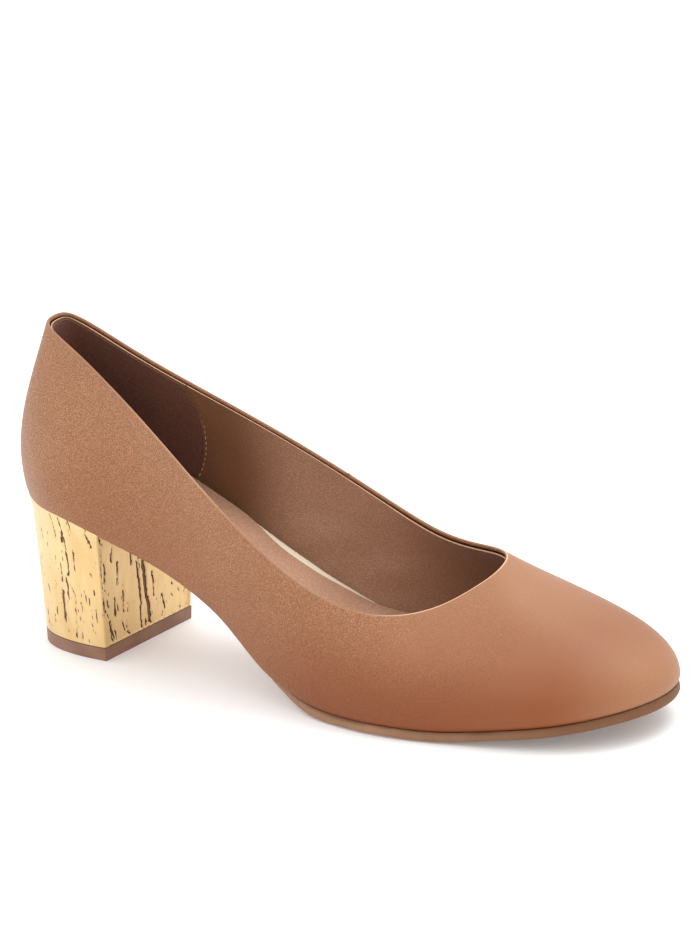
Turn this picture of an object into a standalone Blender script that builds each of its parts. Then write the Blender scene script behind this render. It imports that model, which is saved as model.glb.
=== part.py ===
"""Mid heel pump, right shoe, modelled the way it is made.

One leather wrap is lasted into a thin hollow upper, open at the collar and open underneath, where its
margin turns in below the insole. The outsole, the block heel and the heel's top piece close it from below.

X runs from the heel to the toe, Y from the outer side of the foot (negative) to the inner side, Z up from
the floor. All sizes are in millimetres until a mesh is made.
"""
import bmesh
import bpy
import numpy as np
from mathutils import Vector

MM = 0.001

# Driving dimensions
LAST_LENGTH = 245.5         # back of the heel to the tip of the toe
BALL_WIDTH = 78.0           # across the joints, edge to edge of the upper's underside
SEAT_HEIGHT = 52.0          # underside of the upper above the floor, at the heel
BACK_HEIGHT = 61.0          # collar above the seat at the back of the heel
TOE_SPRING = 9.0            # underside of the toe tip above the tread
WALL = 1.8                  # upper leather with its lining
GAP = 0.3                   # between neighbouring pieces

# Upper
FEATHER_RADIUS = 2.6        # turn from the wall into the lasting margin
LASTING_MARGIN = 5.0        # flat part of the margin, turned in under the insole

# Insole with its padded sock
INSOLE_EDGE_ROUND = 1.2
INSOLE_SIDE_CLEARANCE = 0.5
INSOLE_BED_CLEARANCE = 0.4  # over the lasting margin, which bends sharply behind the tread
INSOLE_TOE_EASE = 1.2       # extra clearance at the toe tip, where the vamp closes over the insole
INSOLE_EASE_FROM = 0.85     # share of the length where that ease begins

# Outsole
OUTSOLE_THICKNESS = 2.9     # at the tread and the toe
OUTSOLE_WAIST = 2.1         # under the arch
OUTSOLE_TUCK = 5.0          # how far its edge lies inside the upper's under the arch
OUTSOLE_EDGE_ROUND = 0.7

# Block heel and its top piece
BREAST_TOP = 50.0           # front face of the heel at the seat, from the back of the last
BREAST_BOTTOM = 45.0        # front face of the heel at the floor
HEEL_BACK_BOTTOM = 7.0      # back of the heel at the floor
HEEL_WIDTH_BOTTOM = 48.0
HEEL_CENTRE = 1.0           # middle of the heel's breast at the floor, toward the inner side
HEEL_SQUARENESS = 2.6       # exponent of its plan curve: 2 is an ellipse
HEEL_INSET = 1.0            # top edge of the heel inside the upper's edge
TOP_PIECE_THICKNESS = 4.8

# Mesh density
COLUMNS_PER_SIDE = 48       # round each half of the upper
WALL_ROWS = 16              # up its outside, half as many up its inside
TURN_STEPS = 3              # round the feather edge
RIM_STEPS = 4               # round the collar's rim
RUNGS_ACROSS = 4            # across the insole, outsole and heel
HEEL_RUNGS = 16             # along the heel
CURVE_SAMPLES = 400         # where a curve is measured before it is divided
SHARP_ANGLE = 40.0          # degrees above which an edge is shaded sharp
WELD = 0.003                # points closer than this are one

TREAD_LIFT = OUTSOLE_THICKNESS + GAP
PERCENT_OF_LENGTH = LAST_LENGTH / 100.0
PERCENT_OF_HALF_BALL = BALL_WIDTH / 200.0
PERCENT_OF_COLLAR = (SEAT_HEIGHT + BACK_HEIGHT) / 100.0

# Sections round the shoe, from the back along the outer side to the toe and home along the inner side.
# feather edge: along (per cent of the length) and out (per cent of half the ball width)
# wall: lean outward at the feather edge (degrees) and how far it keeps that direction (mm)
# collar edge: along and out as above, and its height (per cent of the collar's height at the back)
# vamp: fall of the surface at the collar edge (degrees) and how far it keeps that direction (mm)
SECTION_COLUMNS = ("along", "out", "lean", "rise",
                   "collar_along", "collar_out", "collar_height", "fall", "reach")
SECTIONS = {
    "back":               (0.0,    0.0, 14, 23,  6.0,   0.0, 99.4, 72, 22),
    "outer_heel":         (4.2,  -39.0, 11, 21,  7.5, -21.0, 98.5, 70, 22),
    "outer_seat":        (13.0,  -74.0,  8, 20, 15.0, -38.0, 91.8, 80, 20),
    "outer_breast":      (27.0,  -70.0,  8, 16, 29.0, -58.0, 73.6, 85, 16),
    "outer_waist":       (40.0,  -71.0, 12, 14, 40.0, -74.0, 57.8, 85, 14),
    "outer_behind_joint": (53.5, -88.0, 12, 12, 51.5, -80.5, 41.2, 80, 12),
    "outer_joint":       (66.0, -100.0, 12, 12, 61.0, -73.0, 31.6, 65, 12),
    "outer_toe_side":    (80.5,  -85.0, 10, 14, 69.5, -44.0, 30.8, 42, 18),
    "outer_toe":         (94.0,  -53.0, 12, 14, 74.5, -15.0, 36.2, 30, 25),
    "toe_tip":          (100.0,   10.0, 13, 14, 76.5,   8.0, 40.2, 25, 30),
    "inner_toe":         (96.7,   65.0, 13, 18, 75.3,  33.0, 41.6, 34, 26),
    "inner_toe_side":    (83.5,   94.0, 10, 13, 68.1,  58.0, 40.1, 43, 18),
    "inner_joint":       (70.0,  100.0, 10, 12, 60.0,  74.0, 40.4, 65, 12),
    "inner_behind_joint": (57.0,  86.0, 14, 12, 51.5,  80.0, 46.6, 80, 12),
    "inner_waist":       (43.0,   60.0, 18, 14, 40.5,  74.0, 58.4, 85, 14),
    "inner_breast":      (28.0,   61.0, 13, 16, 28.5,  58.0, 72.0, 85, 16),
    "inner_seat":        (13.0,   68.0,  8, 20, 14.5,  37.0, 88.2, 80, 20),
    "inner_heel":         (3.5,   45.0, 10, 22,  7.0,  21.0, 98.2, 75, 22),
}
TOE_ROW = list(SECTIONS).index("toe_tip")

# Underside of the upper, back to front: along (per cent of the length), share of the seat's lift above the
# tread, share of the toe spring
SEAT_LINE = (
    (0.0, 1.00, 0.0),
    (12.0, 0.99, 0.0),
    (25.5, 0.79, 0.0),
    (39.0, 0.47, 0.0),
    (49.5, 0.10, 0.0),
    (59.0, 0.00, 0.0),
    (73.0, 0.00, 0.0),
    (86.0, 0.00, 0.36),
    (100.0, 0.00, 1.00),
)

# Thickness of the insole with its padding: along (per cent of the length), thickness (mm)
INSOLE_THICKNESS = (
    (0.0, 4.6),
    (45.0, 5.2),
    (65.0, 4.2),
    (85.0, 3.2),
    (100.0, 3.2),
)

# Where the outsole comes out from under the arch: along (per cent of the length), share of the full tread
OUTSOLE_SPREAD = (
    (20.0, 0.0),
    (44.0, 0.1),
    (57.0, 1.0),
    (100.0, 1.0),
)

# Colours as seen, red green blue out of 255, then roughness and metallic
FINISHES = {
    "upper": ((186, 130, 97), 0.45, 0.0),
    "insole": ((184, 140, 110), 0.60, 0.0),
    "outsole": ((140, 92, 62), 0.55, 0.0),
    "heel": ((226, 190, 118), 0.30, 1.0),
    "top_piece": ((112, 74, 52), 0.60, 0.0),
}


def periodic_spline(knots, values, period):
    """Smooth closed curve through values at knots, one column of values each."""
    count = len(knots)
    step = np.diff(np.append(knots, knots[0] + period))[:, None]
    slope = (np.roll(values, -1, axis=0) - values) / step
    matrix = np.zeros((count, count))
    for row in range(count):
        matrix[row, row - 1] += step[row - 1, 0]
        matrix[row, row] += 2.0 * (step[row - 1, 0] + step[row, 0])
        matrix[row, (row + 1) % count] += step[row, 0]
    bend = np.linalg.solve(matrix, 6.0 * (slope - np.roll(slope, 1, axis=0)))

    def curve(place):
        place = np.mod(np.asarray(place, float), period)
        left = np.searchsorted(knots, place, side="right") - 1
        right = (left + 1) % count
        width = step[left]
        after = (place - knots[left])[..., None]
        before = width - after
        arc = (bend[left] * before ** 3 + bend[right] * after ** 3) / (6.0 * width)
        start = (values[left] / width - bend[left] * width / 6.0) * before
        finish = (values[right] / width - bend[right] * width / 6.0) * after
        return arc + start + finish

    return curve


def monotone_curve(knots, values):
    """Smooth curve that never overshoots its knots, so level stretches stay exactly level."""
    width = np.diff(knots)
    slope = np.diff(values) / width
    tangent = np.zeros(len(knots))
    tangent[0] = slope[0]
    tangent[-1] = slope[-1]
    for knot in range(1, len(knots) - 1):
        before, after = slope[knot - 1], slope[knot]
        if before * after > 0.0:
            weight_before = 2.0 * width[knot] + width[knot - 1]
            weight_after = width[knot] + 2.0 * width[knot - 1]
            tangent[knot] = (weight_before + weight_after) / (weight_before / before + weight_after / after)

    def curve(place):
        place = np.asarray(place, float)
        left = np.clip(np.searchsorted(knots, place, side="right") - 1, 0, len(width) - 1)
        share = (place - knots[left]) / width[left]
        rest = 1.0 - share
        start = values[left] * rest ** 2 * (1.0 + 2.0 * share)
        finish = values[left + 1] * share ** 2 * (1.0 + 2.0 * rest)
        bends = tangent[left] * share * rest ** 2 - tangent[left + 1] * share ** 2 * rest
        return start + finish + bends * width[left]

    return curve


def unit(vectors):
    return vectors / np.linalg.norm(vectors, axis=-1, keepdims=True)


def mix(first, second, share):
    return first + (second - first) * share


class Last:
    """The form the shoe is made on: its underside, its edge in plan and the wall that rises from it."""

    def __init__(self):
        rows = np.array(list(SECTIONS.values()), float)
        column = {name: index for index, name in enumerate(SECTION_COLUMNS)}
        rows[:, [column["along"], column["collar_along"]]] *= PERCENT_OF_LENGTH
        rows[:, [column["out"], column["collar_out"]]] *= PERCENT_OF_HALF_BALL
        rows[:, column["collar_height"]] *= PERCENT_OF_COLLAR
        rows[:, [column["lean"], column["fall"]]] *= np.pi / 180.0
        edge = rows[:, :2]
        step = np.linalg.norm(np.roll(edge, -1, axis=0) - edge, axis=1)
        knots = np.concatenate([[0.0], np.cumsum(step)[:-1]])
        self.girth = step.sum()
        self.toe = knots[TOE_ROW]
        self.columns = periodic_spline(knots, rows, self.girth)
        along, lift, spring = np.array(SEAT_LINE).T
        height = TREAD_LIFT + lift * (SEAT_HEIGHT - TREAD_LIFT) + spring * TOE_SPRING
        self.seat = monotone_curve(along * PERCENT_OF_LENGTH, height)

    def slope(self, x):
        return (self.seat(x + GAP) - self.seat(x - GAP)) / (2.0 * GAP)

    def above_seat(self, x, height):
        """Upright place of a layer that lies at a height above the seat line, measured square to it."""
        return self.seat(x) + height * np.hypot(1.0, self.slope(x))

    def square_to_seat(self, plan, height):
        """Points reached from plan points on the seat line by going up square to it."""
        x = plan[..., 0]
        lean = np.arctan(self.slope(x))
        return np.dstack([x - height * np.sin(lean), plan[..., 1], self.seat(x) + height * np.cos(lean)])

    def outward(self, place, first_column):
        """Plan direction out of the shoe, square to the curve held in two neighbouring columns."""
        ahead = self.columns(place + GAP)[..., first_column:first_column + 2]
        behind = self.columns(place - GAP)[..., first_column:first_column + 2]
        run = unit(ahead - behind)
        return np.stack([run[..., 1], -run[..., 0]], axis=-1)

    def edge(self, place):
        """Edge of the underside in plan, with its outward direction."""
        return self.columns(place)[..., :2], self.outward(place, SECTION_COLUMNS.index("along"))

    def place_at(self, x, inner_side):
        """Distance round the edge where it passes x, on the outer or the inner side."""
        span = (self.girth, self.toe) if inner_side else (0.0, self.toe)
        places = np.linspace(*span, CURVE_SAMPLES)
        return np.interp(x, self.columns(places)[:, 0], places)

    def wall(self, places, skipped):
        """Rows of the outside from the feather edge up to the collar, less the skipped length at its foot."""
        value = self.columns(places)
        foot, out = self.edge(places)
        lean, rise, fall, reach = (value[:, SECTION_COLUMNS.index(name), None]
                                   for name in ("lean", "rise", "fall", "reach"))
        start = np.column_stack([foot, self.seat(foot[:, 0])])
        first = SECTION_COLUMNS.index("collar_along")
        collar = value[:, first:first + 3]
        collar_out = self.outward(places, first)
        after_start = start + rise * np.hstack([out * np.sin(lean), np.cos(lean)])
        before_collar = collar + reach * np.hstack([collar_out * np.cos(fall), -np.sin(fall)])
        skipped_share = skipped / (3.0 * rise)
        share = mix(skipped_share, 1.0, np.linspace(0.0, 1.0, WALL_ROWS + 1)[:, None, None])
        rest = 1.0 - share
        return (rest ** 3 * start + 3.0 * rest ** 2 * share * after_start
                + 3.0 * rest * share ** 2 * before_collar + share ** 3 * collar)


def upper_outside(last, places):
    """Outside of the upper: lasting margin, turn at the feather edge and wall up to the collar, in rows."""
    foot, out = last.edge(places)

    def under(inset):
        plan = foot - out * inset
        return np.column_stack([plan, last.seat(plan[:, 0])])

    corner = under(0.0)
    turn_start = under(FEATHER_RADIUS)
    wall = last.wall(places, FEATHER_RADIUS)
    rows = [under(FEATHER_RADIUS + LASTING_MARGIN), turn_start]
    for step in range(1, TURN_STEPS):
        share = step / TURN_STEPS
        rows.append(mix(mix(turn_start, corner, share), mix(corner, wall[0], share), share))
    rows.extend(wall)
    return np.array(rows)


def outward_normals(rows):
    """Unit normals of a surface held in rows that close round the shoe."""
    round_it = np.roll(rows, -1, axis=1) - np.roll(rows, 1, axis=1)
    up_it = np.gradient(rows, axis=0)
    return unit(np.cross(round_it, up_it))


def make_object(name, vertices, faces):
    """Closed mesh object in metres with its own finish."""
    builder = bmesh.new()
    made = [builder.verts.new(Vector(point) * MM) for point in vertices]
    for face in faces:
        builder.faces.new([made[index] for index in face])
    bmesh.ops.remove_doubles(builder, verts=builder.verts, dist=WELD * MM)
    bmesh.ops.recalc_face_normals(builder, faces=builder.faces)
    mesh = bpy.data.meshes.new(name)
    builder.to_mesh(mesh)
    builder.free()
    mesh.shade_smooth()
    mesh.set_sharp_from_angle(angle=np.radians(SHARP_ANGLE))
    mesh.materials.append(make_material(name))
    made_object = bpy.data.objects.new(name, mesh)
    bpy.context.scene.collection.objects.link(made_object)
    return made_object


def make_material(name):
    colour, roughness, metallic = FINISHES[name]
    linear = [((part / 255.0 + 0.055) / 1.055) ** 2.4 for part in colour]
    material = bpy.data.materials.new(name)
    material.use_nodes = True
    shader = material.node_tree.nodes["Principled BSDF"]
    shader.inputs["Base Color"].default_value = (*linear, 1.0)
    shader.inputs["Roughness"].default_value = roughness
    shader.inputs["Metallic"].default_value = metallic
    return material


def band_faces(loops):
    """Quads between neighbouring loops, given as rows of vertex numbers that close on themselves."""
    faces = []
    for lower, higher in zip(loops[:-1], loops[1:]):
        for index in range(len(lower)):
            after = (index + 1) % len(lower)
            faces.append((lower[index], lower[after], higher[after], higher[index]))
    return faces


def build_upper(last):
    """Hollow upper: outside, rounded collar rim and inside, closed into one thin wall."""
    outer_side = np.linspace(0.0, last.toe, COLUMNS_PER_SIDE, endpoint=False)
    inner_side = np.linspace(last.toe, last.girth, COLUMNS_PER_SIDE, endpoint=False)
    outside = upper_outside(last, np.concatenate([outer_side, inner_side]))
    inside = outside - WALL * outward_normals(outside)
    rim_middle = (outside[-1] + inside[-1]) / 2.0
    rim_up = unit(outside[-1] - outside[-2]) * WALL / 2.0
    rim = []
    for step in range(1, RIM_STEPS):
        angle = np.pi * step / RIM_STEPS
        rim.append(rim_middle + (outside[-1] - rim_middle) * np.cos(angle) + rim_up * np.sin(angle))
    turn_rows = 1 + TURN_STEPS
    inside_wall = inside[turn_rows:][::-2]
    rows = np.concatenate([outside, rim, inside_wall, inside[:turn_rows][::-1]])
    count = rows.shape[1]
    loops = [np.arange(count) + row * count for row in range(len(rows))]
    return make_object("upper", rows.reshape(-1, 3), band_faces(loops + loops[:1]))


def edges_between(last, back_x, front_x, rungs, inset):
    """Outer and inner edge of a piece in plan, rung by rung, with the directions out of it.

    A back_x or front_x of None stands for the end of the last, where the two edges meet.
    """
    points, directions = [], []
    for inner_side in (False, True):
        heel_end = last.girth if inner_side else 0.0
        start = heel_end if back_x is None else last.place_at(back_x, inner_side)
        finish = last.toe if front_x is None else last.place_at(front_x, inner_side)
        foot, out = last.edge(np.linspace(start, finish, rungs))
        plan = foot - out * inset(foot[:, 0])[:, None]
        for end, x in ((0, back_x), (-1, front_x)):
            if x is not None:
                plan[end, 0] = x
                out[end] = (0.0, np.sign(out[end, 1]))
        points.append(plan)
        directions.append(out)
    return np.array(points), np.array(directions)


def across(outer, inner):
    """Plan grid of rungs from the outer to the inner edge of a piece."""
    share = np.linspace(0.0, 1.0, RUNGS_ACROSS + 1)[None, :, None]
    return mix(outer[:, None], inner[:, None], share)


def inside_edges(edges, inset):
    points, directions = edges
    return across(*(points - directions * inset))


def level(edges, inset, height):
    """Grid across a piece at one level, inside its edges by an inset and at height(x)."""
    plan = inside_edges(edges, inset)
    return np.dstack([plan, height(plan[..., 0])])


def build_slab(name, levels):
    """Solid with the first level as its top and the last as its underside, joined by their rims."""
    rungs, across = levels[0].shape[:2]
    number = np.arange(rungs * across).reshape(rungs, across)
    rim = np.concatenate([number[:, 0], number[-1, 1:-1], number[::-1, -1], number[0, -2:0:-1]])
    loops = [rim + index * number.size for index in range(len(levels))]
    faces = band_faces(loops)
    for first in (0, (len(levels) - 1) * number.size):
        for rung in range(rungs - 1):
            for step in range(across - 1):
                corners = (number[rung, step], number[rung, step + 1],
                           number[rung + 1, step + 1], number[rung + 1, step])
                faces.append([first + corner for corner in corners])
    used = sorted({index for face in faces for index in face})
    renumber = {old: new for new, old in enumerate(used)}
    vertices = np.concatenate([grid.reshape(-1, 3) for grid in levels])[used]
    return make_object(name, vertices, [[renumber[index] for index in face] for face in faces])


def build_insole(last):
    """Board on the lasting margin, with its underside filling the space that the margin leaves."""
    def side_inset(x):
        ease = np.clip((x / LAST_LENGTH - INSOLE_EASE_FROM) / (1.0 - INSOLE_EASE_FROM), 0.0, 1.0)
        return WALL + INSOLE_SIDE_CLEARANCE + INSOLE_TOE_EASE * ease

    along, thickness = np.array(INSOLE_THICKNESS).T
    padding = monotone_curve(along * PERCENT_OF_LENGTH, thickness)
    edges = edges_between(last, None, None, COLUMNS_PER_SIDE + 1, side_inset)
    bed = WALL + INSOLE_BED_CLEARANCE
    filler_inset = FEATHER_RADIUS + LASTING_MARGIN + GAP - WALL - INSOLE_SIDE_CLEARANCE
    shoulder = INSOLE_EDGE_ROUND * (1.0 - np.sqrt(0.5))
    profile = (
        (INSOLE_EDGE_ROUND, 1.0, bed),
        (shoulder, 1.0, bed - shoulder),
        (0.0, 1.0, bed - INSOLE_EDGE_ROUND),
        (0.0, 0.0, bed + GAP),
        (GAP, 0.0, bed),
        (filler_inset, 0.0, bed),
        (filler_inset, 0.0, 0.0),
    )
    levels = []
    for inset, padded, above in profile:
        plan = inside_edges(edges, inset)
        levels.append(last.square_to_seat(plan, padded * padding(plan[..., 0]) + above))
    return build_slab("insole", levels)


def build_outsole(last):
    """Sheet from the breast of the heel to the toe, flat at the tread, thin and tucked in at the arch."""
    along, share = np.array(OUTSOLE_SPREAD).T
    spread = monotone_curve(along * PERCENT_OF_LENGTH, share)

    def tuck(x):
        return OUTSOLE_TUCK * (1.0 - spread(x))

    def top(x):
        return last.above_seat(x, -GAP)

    def underside(x):
        return last.above_seat(x, -GAP - mix(OUTSOLE_WAIST, OUTSOLE_THICKNESS, spread(x)))

    edges = edges_between(last, BREAST_TOP + GAP, None, COLUMNS_PER_SIDE, tuck)
    levels = (
        level(edges, OUTSOLE_EDGE_ROUND, top),
        level(edges, 0.0, lambda x: top(x) - OUTSOLE_EDGE_ROUND),
        level(edges, 0.0, lambda x: underside(x) + OUTSOLE_EDGE_ROUND),
        level(edges, OUTSOLE_EDGE_ROUND, underside),
    )
    return build_slab("outsole", levels)


def heel_floor_edges():
    """Plan of the heel at the floor: a rounded back that runs into two sides ending at the breast."""
    angle = np.linspace(0.0, np.pi / 2.0, CURVE_SAMPLES)
    depth = BREAST_BOTTOM - HEEL_BACK_BOTTOM
    x = BREAST_BOTTOM - depth * np.cos(angle) ** (2.0 / HEEL_SQUARENESS)
    y = HEEL_WIDTH_BOTTOM / 2.0 * np.sin(angle) ** (2.0 / HEEL_SQUARENESS)
    run = np.concatenate([[0.0], np.cumsum(np.hypot(np.diff(x), np.diff(y)))])
    even = np.linspace(0.0, run[-1], HEEL_RUNGS)
    x_even = np.interp(even, run, x)
    y_even = np.interp(even, run, y)
    return np.array([np.column_stack([x_even, HEEL_CENTRE - y_even]),
                     np.column_stack([x_even, HEEL_CENTRE + y_even])])


def heel_level(last, height):
    """Grid across the heel at a height above the floor, or at the seat line where height is None."""
    seat_edges, _ = edges_between(last, None, BREAST_TOP, HEEL_RUNGS, lambda x: np.full_like(x, HEEL_INSET))
    top = last.above_seat(seat_edges[..., 0], -GAP)
    share = 1.0 if height is None else (height / top)[..., None]
    plan = across(*mix(heel_floor_edges(), seat_edges, share))
    x = plan[..., 0]
    return np.dstack([plan, last.above_seat(x, -GAP) if height is None else np.full_like(x, height)])


def build_heel(last):
    return build_slab("heel", [heel_level(last, None), heel_level(last, TOP_PIECE_THICKNESS + GAP)])


def build_top_piece(last):
    return build_slab("top_piece", [heel_level(last, TOP_PIECE_THICKNESS), heel_level(last, 0.0)])


def centre_on_floor(pieces):
    """Hang the pieces on an empty that brings the middle of their box over the origin."""
    corners = np.array([corner for piece in pieces for corner in piece.bound_box])
    middle = (corners.min(axis=0) + corners.max(axis=0)) / 2.0
    shoe = bpy.data.objects.new("shoe", None)
    bpy.context.scene.collection.objects.link(shoe)
    shoe.location = (-middle[0], -middle[1], 0.0)
    for piece in pieces:
        piece.parent = shoe


def main():
    for leftover in list(bpy.data.objects):
        bpy.data.objects.remove(leftover, do_unlink=True)
    last = Last()
    builders = (build_upper, build_insole, build_outsole, build_heel, build_top_piece)
    centre_on_floor([build(last) for build in builders])


main()
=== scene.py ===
# %% [markdown]
# # A mid heel pump in tan leather
# The imported solids already have the true shape of the last, so this lesson keeps their form and gives each
# piece the surface it has on a real shoe: smooth lasted leather, a glued lining, a padded sock and a heel
# covered in cork foil. The first step loads the solids.

# %% Load the imported shoe
import math
import random

import bmesh
import bpy
import numpy as np
from mathutils import Matrix, Vector, noise
from mathutils.bvhtree import BVHTree
from mathutils.kdtree import KDTree


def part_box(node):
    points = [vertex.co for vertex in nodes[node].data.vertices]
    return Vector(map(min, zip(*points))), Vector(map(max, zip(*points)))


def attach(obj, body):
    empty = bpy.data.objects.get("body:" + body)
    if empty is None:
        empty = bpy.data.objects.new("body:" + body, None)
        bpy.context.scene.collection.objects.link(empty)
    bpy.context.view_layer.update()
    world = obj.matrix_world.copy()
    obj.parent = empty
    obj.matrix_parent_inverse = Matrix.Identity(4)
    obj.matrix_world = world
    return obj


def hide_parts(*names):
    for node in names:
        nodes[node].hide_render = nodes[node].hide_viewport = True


MM = 0.001

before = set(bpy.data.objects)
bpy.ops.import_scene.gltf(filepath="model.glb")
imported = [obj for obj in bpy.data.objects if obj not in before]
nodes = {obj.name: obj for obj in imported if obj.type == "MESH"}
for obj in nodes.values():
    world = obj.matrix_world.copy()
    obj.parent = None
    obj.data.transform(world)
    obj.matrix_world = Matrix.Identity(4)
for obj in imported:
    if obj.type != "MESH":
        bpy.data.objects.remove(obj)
scene = bpy.context.scene
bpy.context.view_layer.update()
print("solids:", sorted(nodes))

# %% [markdown]
# ## Camera
# A product photograph is taken with a long lens, so the shoe hardly tapers away. The camera looks down at
# the outer side from ahead of the heel, rolled a little because the picture is.

# %% Place the camera
IMAGE_HEIGHT = 933
SENSOR_MM = 36.0
FOCAL_LENGTH_PIXELS = 2921.5
VIEW_AZIMUTH = math.radians(35.05)
VIEW_ELEVATION = math.radians(16.6)
VIEW_ROLL = math.radians(-3.3)
VIEW_DISTANCE = 1.0
VIEW_CENTRE = Vector((-0.0221, 0.0487, 0.0558))

turn = Matrix.Rotation(VIEW_AZIMUTH, 3, "Z")
turn @= Matrix.Rotation(math.pi / 2.0 - VIEW_ELEVATION, 3, "X")
turn @= Matrix.Rotation(VIEW_ROLL, 3, "Z")

camera = bpy.data.objects.new("camera", bpy.data.cameras.new("camera"))
camera.data.lens = FOCAL_LENGTH_PIXELS * SENSOR_MM / IMAGE_HEIGHT
camera.data.sensor_width = SENSOR_MM
camera.matrix_world = Matrix.LocRotScale(VIEW_CENTRE + turn.col[2] * VIEW_DISTANCE, turn, None)
scene.collection.objects.link(camera)
scene.camera = camera
print("lens:", round(camera.data.lens, 1), "mm")

# %% [markdown]
# ## Helpers for pieces
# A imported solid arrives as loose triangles. A copy is welded and paired back into the quads that it was
# drawn with, because subdivision only runs smoothly over quads. Modifiers are baked into the mesh, so that
# later steps can move single points of the finished surface.

# %% Copies of solids and finished pieces
WELD = 0.001 * MM
SHARP_ANGLE = math.radians(38.0)
QUAD_FLOW = 2.0  # how strongly new quads follow the quads beside them


def welded_quads(node_name):
    """Welded copy of a solid as a bmesh of quads."""
    copy = bmesh.new()
    copy.from_mesh(nodes[node_name].data)
    bmesh.ops.remove_doubles(copy, verts=copy.verts, dist=WELD)
    bmesh.ops.join_triangles(copy, faces=copy.faces, angle_face_threshold=math.pi,
                             angle_shape_threshold=math.pi, topology_influence=QUAD_FLOW)
    copy.normal_update()
    return copy


def add_piece(name, shape, finishes):
    """Object at the origin from a bmesh, which is used up."""
    mesh = bpy.data.meshes.new(name)
    shape.to_mesh(mesh)
    shape.free()
    for finish in finishes:
        mesh.materials.append(finish.material)
    piece = bpy.data.objects.new(name, mesh)
    scene.collection.objects.link(piece)
    return piece


def add_modifier(piece, kind, **settings):
    modifier = piece.modifiers.new(kind.lower(), kind)
    for setting, value in settings.items():
        setattr(modifier, setting, value)
    return modifier


def bake_modifiers(piece):
    """Turn the modifiers into mesh, smooth it and keep its real edges sharp."""
    graph = bpy.context.evaluated_depsgraph_get()
    baked = bpy.data.meshes.new_from_object(piece.evaluated_get(graph))
    piece.modifiers.clear()
    old = piece.data
    piece.data = baked
    bpy.data.meshes.remove(old)
    baked.name = piece.name
    baked.shade_smooth()
    baked.set_sharp_from_angle(angle=SHARP_ANGLE)
    return baked


def subdivided(piece, levels):
    add_modifier(piece, "SUBSURF", levels=levels, render_levels=levels)
    return bake_modifiers(piece)


def points_of(mesh):
    points = np.empty(len(mesh.vertices) * 3)
    mesh.vertices.foreach_get("co", points)
    return points.reshape(-1, 3)


def normals_of(mesh):
    return np.array([vertex.normal for vertex in mesh.vertices])


def put_points(mesh, points):
    mesh.vertices.foreach_set("co", points.ravel())
    mesh.update()


def put_attribute(mesh, name, values):
    """One number per point, for the materials to read."""
    attribute = mesh.attributes.new(name, "FLOAT", "POINT")
    attribute.data.foreach_set("value", np.asarray(values, np.float32))


def smooth_step(low, high, value):
    share = np.clip((value - low) / (high - low), 0.0, 1.0)
    return share * share * (3.0 - 2.0 * share)


def show(piece, slot, *replaced):
    """Attach the piece to the root, hide the solids it replaces, and print its triangle count."""
    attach(piece, "root")
    if replaced:
        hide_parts(*replaced)
    piece.data.calc_loop_triangles()
    print(piece.name, "has", len(piece.data.loop_triangles), "triangles")


# %% [markdown]
# ## Finishes
# Leather, lining, sock and heel grip are all skins, so they share one grain: small rounded cells and fine
# pores, over slow patches of lighter and darker dye. A node group holds it once, and each finish sets its
# cell size and colours. Object coordinates keep the grain at its real size.

# %% Node helpers and the shared grain
def srgb(red, green, blue):
    """Colour as seen, out of 255, in the linear values that the shader takes."""
    linear = [((part / 255.0 + 0.055) / 1.055) ** 2.4 for part in (red, green, blue)]
    return (*linear, 1.0)


class Nodes:
    """A node tree, with short ways to add the nodes that finishes need."""

    def __init__(self, tree):
        self.tree = tree

    def join(self, node, inputs):
        """Set a node's inputs, or join them to other nodes' outputs."""
        for socket, value in inputs.items():
            if isinstance(value, bpy.types.NodeSocket):
                self.tree.links.new(value, node.inputs[socket])
            else:
                node.inputs[socket].default_value = value

    def add(self, kind, inputs=None, **settings):
        """Add a node with its settings and inputs, and give its outputs."""
        node = self.tree.nodes.new("ShaderNode" + kind)
        for setting, value in settings.items():
            setattr(node, setting, value)
        self.join(node, inputs or {})
        return node.outputs

    def math(self, operation, first, second=0.0, third=0.0):
        return self.add("Math", {0: first, 1: second, 2: third}, operation=operation)[0]

    def mix(self, share, first, second):
        return self.add("Mix", {"Factor": share, 6: first, 7: second}, data_type="RGBA")[2]

    def spread(self, value, low, high):
        """Value from low to high stretched to 0 to 1."""
        return self.add("MapRange", {"Value": value, "From Min": low, "From Max": high})["Result"]

    def noise(self, place, scale, detail):
        return self.add("TexNoise", {"Vector": place, "Scale": scale, "Detail": detail})["Fac"]


PORES_PER_CELL = 2.4
CELL_SHARE = 0.7  # of the height, and the pores have the rest
PATCHES_PER_METRE = 55.0
NOISE_SPREAD = (0.3, 0.7)  # where most values of a noise lie

grain = Nodes(bpy.data.node_groups.new("skin_grain", "ShaderNodeTree"))
for socket, way, kind in (("Place", "INPUT", "NodeSocketVector"), ("Cells", "INPUT", "NodeSocketFloat"),
                          ("Height", "OUTPUT", "NodeSocketFloat"), ("Patches", "OUTPUT", "NodeSocketFloat")):
    grain.tree.interface.new_socket(socket, in_out=way, socket_type=kind)
place, cell_scale, _ = grain.tree.nodes.new("NodeGroupInput").outputs
cells = grain.add("TexVoronoi", {"Vector": place, "Scale": cell_scale}, feature="SMOOTH_F1")["Distance"]
cell_part = grain.math("MULTIPLY", grain.math("SUBTRACT", 1.0, cells), CELL_SHARE)
pores = grain.noise(place, grain.math("MULTIPLY", cell_scale, PORES_PER_CELL), 2.0)
patches = grain.noise(place, PATCHES_PER_METRE, 4.0)
grain.join(grain.tree.nodes.new("NodeGroupOutput"),
           {"Height": grain.math("MULTIPLY_ADD", pores, 1.0 - CELL_SHARE, cell_part),
            "Patches": grain.spread(patches, *NOISE_SPREAD)})
print("node group:", grain.tree.name)

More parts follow.
